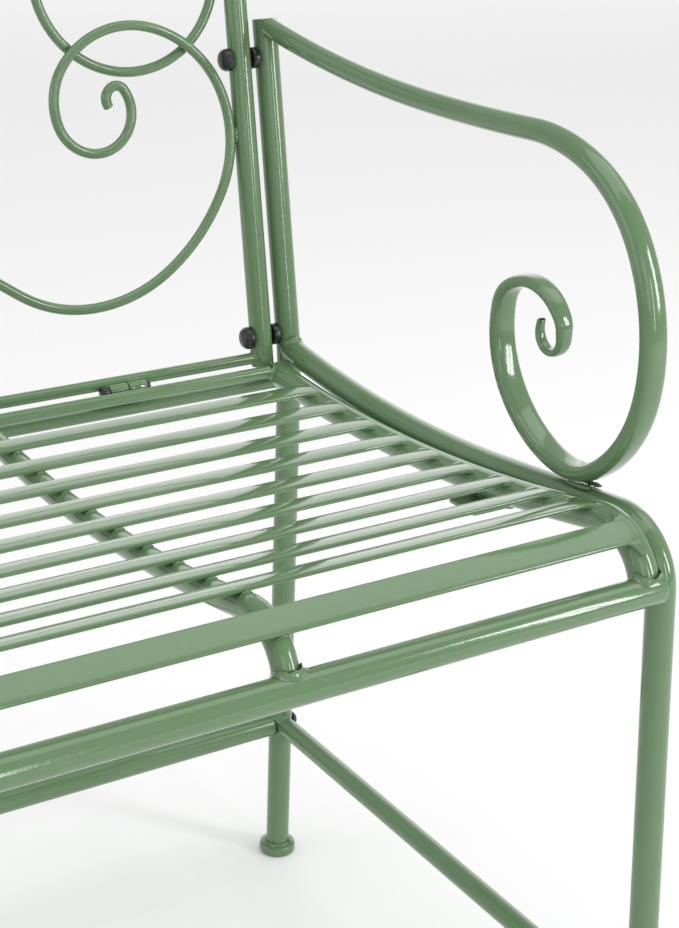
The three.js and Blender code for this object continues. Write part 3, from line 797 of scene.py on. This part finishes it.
scroll_flat = bent(SCROLL_START, SCROLL_HEADING, SCROLL_BENDS, turn=4, arc_step=8)
scroll_path = back_plane(scroll_flat)
add_pair("back_scroll_rod", tube(scroll_path, BACK_NORMAL, ROD_R, ("soft", "soft"), ROD_SIDES), GREEN,
         "backrest", "back_scroll", sharp=60)
ring_u = UPRIGHT_X - UPRIGHT_R - CLEARANCE - ROD_R - RING_R
ring_behind = 2 * ROD_R + CLEARANCE
add_pair("back_ring_rod", closed_ring(back_point(ring_u, RING_W, ring_behind), RING_R, ROD_R), GREEN,
         "backrest", "back_ring")
centre_w = BACK_RAIL_W + RAIL_R + CLEARANCE + ROD_R + CENTRE_RING_R
add("back_centre_ring_rod", closed_ring(back_point(0, centre_w), CENTRE_RING_R, ROD_R), GREEN, "backrest",
    ("back_centre_ring",))

# ---- hinges and back fasteners ----
hinge_at = Vector((HINGE_X, HINGE_Y, HINGE_Z))
back_knuckle_x = HINGE_X + KNUCKLE_L + KNUCKLE_GAP
seat_knuckle = collar(hinge_at, X_AXIS, KNUCKLE_BORE_R, KNUCKLE_R, KNUCKLE_L)
back_hinge_at = Vector((back_knuckle_x, HINGE_Y, HINGE_Z))
back_knuckle = collar(back_hinge_at, X_AXIS, KNUCKLE_BORE_R, KNUCKLE_R, KNUCKLE_L)
add_pair("hinge_seat_barrel", seat_knuckle, GREEN, "frame", "hinge_seat_knuckle")
add_pair("hinge_back_barrel", back_knuckle, GREEN, "backrest", "hinge_back_knuckle")
hinge_bolt = lathe(hinge_at, X_AXIS, HINGE_BOLT_PROFILE)
add_pair("hinge_bolt_turned", hinge_bolt, BLACK, "frame", "hinge_bolt", sharp=50)
spacer_length = FRAME_X - POST_R - UPRIGHT_X - UPRIGHT_R - 2 * CLEARANCE
for where, w in zip(("lower", "upper"), BACK_BOLT_W):
    at = back_point(UPRIGHT_X, w)
    spacer_at = Vector((at.x + UPRIGHT_R + CLEARANCE, at.y, at.z))
    spacer = collar(spacer_at, X_AXIS, SPACER_BORE_R, SPACER_R, spacer_length)
    add_pair("back_spacer_ring_" + where, spacer, BLACK, "frame", "back_spacer_" + where)
    knob = lathe(Vector((at.x - UPRIGHT_R, at.y, at.z)), X_AXIS, KNOB_PROFILE)
    add_pair("back_bolt_knob_" + where, knob, BLACK, "backrest", "back_bolt_" + where, sharp=50)

# ---- brackets under the seat ----
bracket_z = (arc_height(SEAT_ARC_R, BRACKET_Y + BRACKET_W / 2, SEAT_LOW_Y, SEAT_LOW_Z) - 2 * TUBE_R
             - BRACKET_GAP)


def plate(x0, x1, y, width, z_top, thick):
    """A plate with rounded corners and softened edges."""
    corner, edge = PLATE_CORNER_R, PLATE_EDGE
    back, front = y + width / 2 - corner, y - width / 2 + corner
    outline = []
    for cx, cy, first in ((x1 - corner, back, 0), (x0 + corner, back, 90), (x0 + corner, front, 180),
                          (x1 - corner, front, 270)):
        for a in range(0, 91, 15):
            outline.append((cx, cy, math.cos((first + a) * DEGREE), math.sin((first + a) * DEGREE)))
    rings = []
    for z, inset in ((z_top - thick, edge), (z_top - thick + edge, 0), (z_top - edge, 0), (z_top, edge)):
        reach = corner - inset
        rings.append([Vector((cx + reach * c, cy + reach * s, z)) for cx, cy, c, s in outline])
    return rings_to_mesh(rings, len(outline))


bracket = plate(SEAT_RAIL_X - BRACKET_REACH, FRAME_X + TUBE_R, BRACKET_Y, BRACKET_W, bracket_z, BRACKET_T)
add_pair("seat_bracket_plate", bracket, GREEN, "frame", "seat_bracket")
seat_bolt = lathe(Vector((FRAME_X, BRACKET_Y, bracket_z - BRACKET_T)), UP, SEAT_BOLT_PROFILE)
add_pair("seat_bolt_head", seat_bolt, BLACK, "frame", "seat_bolt", sharp=50)


# ---- welds of the side frames ----
def direction_near(path, point):
    """The path's direction at its point nearest to this one."""
    i = min(range(len(path)), key=lambda k: (path[k] - point).length)
    return tangents(path)[i]


def below_post_top(loop):
    """A loop kept under the cut end of the post."""
    return [p - BACK_UP * max(0, (p - POST_TOP).dot(BACK_UP) + POST_TOP_MARGIN) for p in loop]


def leg_circle(y, radius, z, angles):
    """Points around a leg at one height."""
    return [Vector((FRAME_X + radius * math.cos(a * DEGREE), y + radius * math.sin(a * DEGREE), z))
            for a in angles]


side_dir = (side_path[0] - side_path[3]).normalized()
cross_bar_end = Vector((FRAME_X, cross_bar_y, CROSS_BAR_Z))
stretcher_end = Vector((FRAME_X, stretcher_y, STRETCHER_Z))
stretcher_front_end = Vector((FRAME_X, stretcher_front, STRETCHER_Z))
arm_loop = joint_loop(arm_path[2], -arm_heading, ARM_R, POST_TOP, BACK_UP, POST_R)
mid_stretcher = stretcher_path[STRETCHER_STEPS // 2]
cross_bar_at = Vector((BAR_POINT_X, cross_bar_y, CROSS_BAR_Z))
rear_stretcher_at = Vector((BAR_POINT_X, stretcher_y, STRETCHER_Z))
frame_beads = [
    fillet(side_path[3], side_dir, TUBE_R, cross_bar_end, LEG_UP, POST_R, reach=3.2, seed=1),
    bead(below_post_top(arm_loop), ARM_BEAD_R, True, 2),
    fillet(mid_stretcher, Y_AXIS, STRETCHER_R, stretcher_end, LEG_UP, POST_R, reach=2.6, seed=3),
    fillet(mid_stretcher, -Y_AXIS, STRETCHER_R, stretcher_front_end, FRONT_LEG_UP, TUBE_R, reach=2.6, seed=4),
    fillet(cross_bar_at, X_AXIS, CROSS_BAR_R, cross_bar_end, LEG_UP, POST_R, reach=2.4, seed=5),
    fillet(rear_stretcher_at, X_AXIS, TUBE_R, stretcher_end, LEG_UP, POST_R, reach=2.6, seed=6),
]
for seed, (y, r) in enumerate(((rear_leg_y(FOOT_H), POST_R), (front_leg_y(FOOT_H), TUBE_R))):
    ring = leg_circle(y, r + FOOT_BEAD_OUT, FOOT_H + FOOT_BEAD_UP, range(0, 360, 12))
    frame_beads.append(bead(ring, FOOT_BEAD_R, True, 10 + seed))
    for first in FOOT_BLOB_ANGLES:
        blob = leg_circle(y, r + FOOT_BLOB_OUT, FOOT_H + FOOT_BLOB_UP,
                          range(first, first + FOOT_BLOB_SPAN, 8))
        frame_beads.append(bead(blob, FOOT_BLOB_R, False, 12 + seed + first))
# the scroll lies along the top of the side tube, welded on both flanks
touch = min(arm_path, key=lambda p: min((p - q).length for q in side_path))
touch_dir = direction_near(side_path, touch)
for flank in (-1, 1):
    run = [touch + touch_dir * s + Vector((flank * FLANK_X, 0, FLANK_CURVE * s * s - FLANK_DROP))
           for s in range(-FLANK_HALF, FLANK_HALF + 1, 4)]
    frame_beads.append(bead(run, FLANK_BEAD_R, False, 20 + flank))
add_pair("side_frame_welds", merged(frame_beads), GREEN_WELD, "frame")


# ---- welds of the seat ----
def slat_web(y, z, tilt, end, seed):
    """The filled corner between a slat's edge and the side rail, round on its free side."""
    turn = Matrix.Rotation(tilt * DEGREE, 3, "X")
    reach = WEB_REACH * (1 + 0.3 * noise.noise(Vector((seed * 1.3, 0.4, 0.7))))
    run = WEB_RUN * (1 + 0.3 * noise.noise(Vector((0.2, seed * 1.7, 0.9))))
    rings = []
    for step in range(WEB_STEPS + 1):
        s = step / WEB_STEPS
        free_x = SEAT_RAIL_X - WEB_INSET - run * (1 - math.sqrt(1 - (1 - s) ** 2))
        drop = WEB_DROP + WEB_SAG * s * s
        depth = (SLAT_T - 0.2) * (1 - WEB_THINNER * s)
        ring = []
        for x, down in ((free_x + 0.9, drop + depth), (free_x + 0.2, drop + depth * 0.8),
                        (free_x, drop + 1.1), (free_x + 0.25, drop + 0.45), (free_x + 0.9, drop),
                        (SEAT_RAIL_X - 3.5, drop), (SLAT_HALF, drop), (SLAT_HALF, drop + depth)):
            p = turn @ Vector((0, end * (SLAT_W / 2 - WEB_OVERLAP + s * reach), -down))
            ring.append(Vector((x, y + p.y, z + p.z)))
        rings.append(ring if end > 0 else ring[::-1])
    return rings_to_mesh(rings, len(rings[0]))


def knuckle_beads(x, rail_y, rail_z, radius, seed):
    """Beads above and below the line where a knuckle lies against its rail."""
    y, z = (rail_y + HINGE_Y) / 2, (rail_z + HINGE_Z) / 2
    return [bead([Vector((x + s, y, z + rise)) for s in range(0, KNUCKLE_L + 1, 3)], radius, False,
                 seed + rise) for rise in KNUCKLE_BEAD_RISES]


def front_fillet(x, y, r, reach, seed):
    """The fillet where a bent tube comes down on the front tube."""
    above, tube_at = Vector((x, y, FRONT_TUBE_Z + FRONT_POINT_UP)), Vector((0, FRONT_TUBE_Y, FRONT_TUBE_Z))
    return fillet(above, -UP, r, tube_at, X_AXIS, TUBE_R + 0.2, reach, seed)


seat_beads = []
for i, (y, z, tilt) in enumerate(slats):
    turn = Matrix.Rotation(tilt * DEGREE, 3, "X")
    for end in (-1, 1):
        seat_beads.append(slat_web(y, z, tilt, end, 30 + 2 * i + end))
    lower = [turn @ Vector((0, s, -SLAT_T - 0.2)) for s in (-7, -4, -1, 2, 5, 8)]
    run = [Vector((SEAT_RAIL_X - SLAT_BEAD_INSET, y + p.y, z + p.z)) for p in lower]
    seat_beads.append(bead(run, SLAT_BEAD_R, False, 60 + i))
seat_beads.append(front_fillet(SEAT_RAIL_X, bend_y - SEAT_BEND_R + TUBE_R, TUBE_R, 3.2, 80))
seat_beads += knuckle_beads(HINGE_X, REAR_RAIL_Y, REAR_RAIL_Z, 1.5, 84)
seat_beads.append(fillet(Vector((RAIL_POINT_X, REAR_RAIL_Y, REAR_RAIL_Z)), X_AXIS, RAIL_R,
                         Vector((SEAT_RAIL_X, SEAT_RAIL_BACK_Y, rail_path[0].z)), Y_AXIS, TUBE_R,
                         reach=2.4, seed=88))
add_pair("seat_welds", merged(seat_beads), GREEN_WELD, "frame")

for where, x in SUPPORTS:
    beads = []
    for i, (y, z, tilt) in enumerate(slats):
        turn = Matrix.Rotation(tilt * DEGREE, 3, "X")
        for end in (-1, 1):
            at = turn @ Vector((0, end * (SLAT_W / 2 - 0.3), -SLAT_T - 0.4))
            run = [Vector((x + s, y + at.y, z + at.z - SUPPORT_BEAD_CURVE * s * s))
                   for s in (-4, -2, 0, 2, 4)]
            beads.append(bead(run, SUPPORT_BEAD_R, False, 100 + 2 * i + end + 0.01 * x))
    beads.append(front_fillet(x, bend_y - SEAT_BEND_R + support_depth, SUPPORT_R, 3.4, 130))
    rear = joint_loop(Vector((x, SUPPORT_POINT_Y, REAR_RAIL_Z)), Y_AXIS, RAIL_R,
                      Vector((0, REAR_RAIL_Y, REAR_RAIL_Z)), X_AXIS, RAIL_R)
    beads.append(bead(rear, RAIL_BEAD_R, True, 131))
    add("support_welds_" + where, merged(beads), GREEN_WELD, "frame")


# ---- welds of the backrest ----
def tack(at, along, seed, reach=TACK_REACH, radius=1.6, half=6):
    """Beads in front and behind, on the line where two round bars touch."""
    return [bead([at + along * s + BACK_NORMAL * (side * reach) for s in range(-half, half + 1, 2)], radius,
                 False, seed + side) for side in (-1, 1)]


scroll_right = max(scroll_path, key=lambda p: p.x)
scroll_up = max(scroll_path, key=lambda p: p.z)
ring_centre = back_point(ring_u, RING_W, ring_behind)
ring_side = ring_centre + X_AXIS * (RING_R + ROD_R - 0.5) - BACK_NORMAL * 3
ring_top = ring_centre + BACK_UP * (RING_R + 1) - BACK_NORMAL * 4
centre_at = back_point(0, centre_w)
near_ring = min(scroll_path, key=lambda p: abs((p - centre_at).length - CENTRE_RING_R - 2 * ROD_R))
outward = (near_ring - centre_at).normalized()
rod_skin = ROD_R + 0.2
ring_skin = CENTRE_RING_R + rod_skin
back_beads = tack(scroll_right + X_AXIS * rod_skin, BACK_UP, 140)
back_beads += tack(scroll_up + BACK_UP * rod_skin, X_AXIS, 142)
back_beads += tack(ring_side, BACK_UP, 144, reach=2.0)
back_beads.append(bead([ring_top + X_AXIS * s for s in range(-7, 8, 2)], RING_BEAD_R, False, 146))
back_beads += tack(centre_at + outward * ring_skin, outward.cross(BACK_NORMAL), 148)
back_beads.append(fillet(Vector((RAIL_POINT_X, rail_at.y, rail_at.z)), X_AXIS, RAIL_R, upright_path[0],
                         BACK_UP, UPRIGHT_R, reach=2.4, seed=150))
back_beads += knuckle_beads(back_knuckle_x, rail_at.y, rail_at.z, 1.6, 152)
add_pair("back_welds", merged(back_beads), GREEN_WELD, "backrest")
ring_foot = centre_at - BACK_UP * ring_skin
add("centre_ring_welds", merged(tack(ring_foot, X_AXIS, 156, radius=1.7, half=8)), GREEN_WELD, "backrest")

# ---- floor ----
FLOOR_HALF = 90
FLOOR_SHADE = 0.93
floor_mesh = bpy.data.meshes.new("studio_floor")
floor_mesh.from_pydata([(x * FLOOR_HALF, y * FLOOR_HALF, 0) for x, y in ((-1, -1), (1, -1), (1, 1), (-1, 1))],
                       [], [(0, 1, 2, 3)])
floor = bpy.data.objects.new("studio_floor", floor_mesh)
bpy.context.scene.collection.objects.link(floor)
floor_paint = bpy.data.materials.new("pale_floor")
floor_paint.use_nodes = True
floor_shader = floor_paint.node_tree.nodes["Principled BSDF"]
floor_shader.inputs["Base Color"].default_value = (FLOOR_SHADE, FLOOR_SHADE, FLOOR_SHADE, 1)
floor_shader.inputs["Roughness"].default_value = 0.9
floor_shader.inputs["Specular IOR Level"].default_value = 0.1
floor_mesh.materials.append(floor_paint)

# ---- light ----
SKY_STRENGTH = 0.68
world = bpy.data.worlds.new("studio_world")
bpy.context.scene.world = world
world.use_nodes = True
sky = world.node_tree
sky.nodes.clear()
sky_out = sky.nodes.new("ShaderNodeOutputWorld")
sky_light = sky.nodes.new("ShaderNodeBackground")
sky_light.inputs["Color"].default_value = (1.0, 1.0, 1.0, 1)
sky_light.inputs["Strength"].default_value = SKY_STRENGTH
sky.links.new(sky_light.outputs["Background"], sky_out.inputs["Surface"])


def softbox(name, place, target, width, height, power):
    """A rectangular area light that faces a point."""
    data = bpy.data.lights.new(name, "AREA")
    data.shape = "RECTANGLE"
    data.size = width
    data.size_y = height
    data.energy = power
    light = bpy.data.objects.new(name, data)
    bpy.context.scene.collection.objects.link(light)
    light.location = place
    light.rotation_euler = (Vector(target) - Vector(place)).to_track_quat("-Z", "Y").to_euler()


# name, place, target, width, height, radiance
PANELS = (
    ("back_panel", (4.6, 8.4, 3.0), (0.3, 0.0, 0.6), 13.0, 5.6, 0.9),
    ("left_panel", (-4.4, 1.0, 1.7), (0.0, 0.0, 0.6), 4.0, 2.8, 1.0),
    ("front_panel", (-2.0, -4.6, 2.2), (0.2, 0.0, 0.5), 3.0, 2.4, 1.0),
    ("top_panel", (0.8, -0.2, 3.3), (0.8, -0.2, 0.5), 5.2, 1.7, 1.3),
    ("key_window_a", (2.32, -2.64, 1.5), (0.42, -0.2, 0.5), 0.24, 1.5, 16.0),
    ("key_window_b", (2.56, -2.43, 1.5), (0.42, -0.2, 0.5), 0.24, 1.5, 16.0),
    ("front_strip", (0.96, -3.2, 1.1), (0.48, 0.2, 0.6), 0.22, 1.3, 11.0),
)
for panel_name, place, target, width, height, radiance in PANELS:
    softbox(panel_name, place, target, width, height, radiance * math.pi * width * height)

# ---- camera ----
CAMERA_AT = Vector((-230.6, -1042.2, 934.3))
CAMERA_YAW = 30.794  # degrees from +Y towards +X
CAMERA_DOWN = 15.850
CAMERA_ROLL = 0.483
LENS = 99.6
SENSOR = 36
SHIFT_X = 0.0753
SHIFT_Y = -0.2718
CLIP_START = 0.05
CLIP_END = 100

yaw, down, roll = (a * DEGREE for a in (CAMERA_YAW, CAMERA_DOWN, CAMERA_ROLL))
forward = Vector((math.sin(yaw) * math.cos(down), math.cos(yaw) * math.cos(down), -math.sin(down)))
level = Vector((math.cos(yaw), -math.sin(yaw), 0))
upward = level.cross(forward)
right_way = level * math.cos(roll) + upward * math.sin(roll)
up_way = upward * math.cos(roll) - level * math.sin(roll)
camera_data = bpy.data.cameras.new("camera")
camera_data.sensor_fit = "HORIZONTAL"
camera_data.sensor_width = SENSOR
camera_data.lens = LENS
camera_data.shift_x = SHIFT_X
camera_data.shift_y = SHIFT_Y
camera_data.clip_start = CLIP_START
camera_data.clip_end = CLIP_END
camera = bpy.data.objects.new("camera", camera_data)
bpy.context.scene.collection.objects.link(camera)
axes = Matrix((right_way, up_way, -forward)).transposed()
camera.matrix_world = Matrix.Translation(CAMERA_AT * MM) @ axes.to_4x4()
bpy.context.scene.camera = camera
bpy.context.scene.view_settings.view_transform = "Standard"
